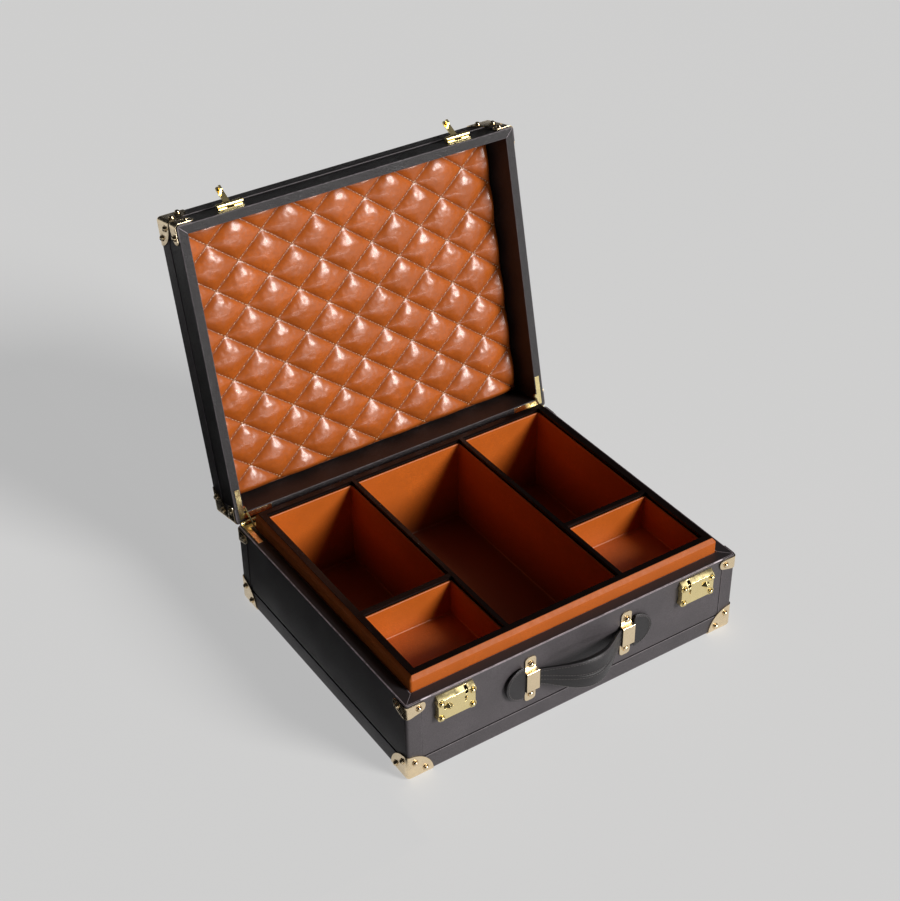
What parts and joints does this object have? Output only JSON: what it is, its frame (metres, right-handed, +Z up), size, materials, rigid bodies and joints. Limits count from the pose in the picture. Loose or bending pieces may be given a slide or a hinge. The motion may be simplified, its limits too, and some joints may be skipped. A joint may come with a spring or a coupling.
{
  "type": "poker chip case",
  "caption": "Hard leather-covered poker chip case with a fitted divided interior, quilted hinged lid, brass locks, hasps, corner caps and a front handle.",
  "frame": {"origin": "centre of the base shell's flat underside", "axes": "+Z up, front with the locks and handle towards -Y, lid hinge line along X at the rear"},
  "size_m": [0.426, 0.5005, 0.452],
  "materials": {
    "dark_leather": "fine-grained dark brown leather over board, soft sheen",
    "dark_leather_binding": "dark brown leather binding strip, soft sheen",
    "handle_leather": "smooth dark leather with painted edges and stitching",
    "tan_leather": "tan leather lining, soft sheen",
    "tan_quilted_leather": "glossy tan leather quilted in diamonds over soft padding",
    "black_edging": "black painted leather edging, smooth",
    "pale_brass": "polished pale brass plate",
    "polished_brass": "polished yellow brass",
    "backing_board": "matt fibreboard"
  },
  "bodies": {
    "base": {"base_shell": "dark_leather", "base_binding": "dark_leather_binding", "liner_box": "tan_leather", "divider_frame": "black_edging", "rear_left_compartment": "tan_leather", "front_left_compartment": "tan_leather", "centre_compartment": "tan_leather", "rear_right_compartment": "tan_leather", "front_right_compartment": "tan_leather", "base_cap_front_left": "pale_brass", "base_cap_front_right": "pale_brass", "base_cap_rear_left": "pale_brass", "base_cap_rear_right": "pale_brass", "base_bracket_front_left": "pale_brass", "base_bracket_front_right": "pale_brass", "base_bracket_rear_left": "pale_brass", "base_bracket_rear_right": "pale_brass", "lock_case_left": "polished_brass", "handle_keeper_left": "pale_brass", "hinge_base_leaf_left": "polished_brass", "hinge_pin_left": "polished_brass", "lock_case_right": "polished_brass", "handle_keeper_right": "pale_brass", "hinge_base_leaf_right": "polished_brass", "hinge_pin_right": "polished_brass"},
    "lid": {"lid_shell": "dark_leather", "lid_binding": "dark_leather_binding", "lid_pad": "tan_quilted_leather", "lid_pad_board": "backing_board", "lid_cap_front_left": "pale_brass", "lid_cap_front_right": "pale_brass", "lid_cap_rear_left": "pale_brass", "lid_cap_rear_right": "pale_brass", "lid_bracket_front_left": "pale_brass", "lid_bracket_front_right": "pale_brass", "lid_bracket_rear_left": "pale_brass", "lid_bracket_rear_right": "pale_brass", "hinge_lid_leaf_left": "polished_brass", "hasp_plate_left": "polished_brass", "hasp_pin_left": "polished_brass", "hinge_lid_leaf_right": "polished_brass", "hasp_plate_right": "polished_brass", "hasp_pin_right": "polished_brass"},
    "handle": {"handle_strap": "handle_leather"},
    "hasp_left": {"hasp_tongue_left": "polished_brass"},
    "lock_slider_left": {"lock_button_left": "polished_brass"},
    "key_cam_left": {"lock_key_cam_left": "polished_brass"},
    "stay_left": {"stay_link_left": "polished_brass"},
    "hasp_right": {"hasp_tongue_right": "polished_brass"},
    "lock_slider_right": {"lock_button_right": "polished_brass"},
    "key_cam_right": {"lock_key_cam_right": "polished_brass"},
    "stay_right": {"stay_link_right": "polished_brass"}
  },
  "joints": [
    {"name": "lid_hinge", "type": "hinge", "parent": "base", "child": "lid", "pos_m": [0, 0.1731, 0.0992], "axis": [1, 0, 0], "range_deg": [0, 102.4]},
    {"name": "handle_rock", "type": "hinge", "parent": "base", "child": "handle", "pos_m": [0, -0.175, 0.06], "axis": [1, 0, 0], "range_deg": [-2.5, 2.5]},
    {"name": "hasp_left_swing", "type": "hinge", "parent": "lid", "child": "hasp_left", "pos_m": [-0.1425, 0.26, 0.43763], "axis": [1, 0, 0], "range_deg": [0, 143], "stiffness_Nm_per_rad": 0.004, "springref_deg": -28.65},
    {"name": "lock_slider_left_slide", "type": "slide", "parent": "base", "child": "lock_slider_left", "axis": [-1, 0, 0], "range_m": [0, 0.0035], "stiffness_N_per_m": 300, "springref_m": -0.002},
    {"name": "key_cam_left_turn", "type": "hinge", "parent": "base", "child": "key_cam_left", "pos_m": [-0.1435, -0.1762, 0.0801], "axis": [0, 1, 0], "range_deg": [0, 90]},
    {"name": "stay_left_turn", "type": "hinge", "parent": "lid", "child": "stay_left", "pos_m": [-0.1966, 0.17849, 0.1144], "axis": [1, 0, 0], "range_deg": [-136, 0]},
    {"name": "hasp_right_swing", "type": "hinge", "parent": "lid", "child": "hasp_right", "pos_m": [0.1425, 0.26, 0.43763], "axis": [1, 0, 0], "range_deg": [0, 143], "stiffness_Nm_per_rad": 0.004, "springref_deg": -28.65},
    {"name": "lock_slider_right_slide", "type": "slide", "parent": "base", "child": "lock_slider_right", "axis": [1, 0, 0], "range_m": [0, 0.0035], "stiffness_N_per_m": 300, "springref_m": -0.002},
    {"name": "key_cam_right_turn", "type": "hinge", "parent": "base", "child": "key_cam_right", "pos_m": [0.1435, -0.1762, 0.0801], "axis": [0, -1, 0], "range_deg": [0, 90]},
    {"name": "stay_right_turn", "type": "hinge", "parent": "lid", "child": "stay_right", "pos_m": [0.1966, 0.17849, 0.1144], "axis": [1, 0, 0], "range_deg": [-136, 0]}
  ],
  "couplings": [
    {"joint": "stay_left_turn", "follows": "lid_hinge", "ratio": -1.3249},
    {"joint": "stay_right_turn", "follows": "lid_hinge", "ratio": -1.3249}
  ]
}
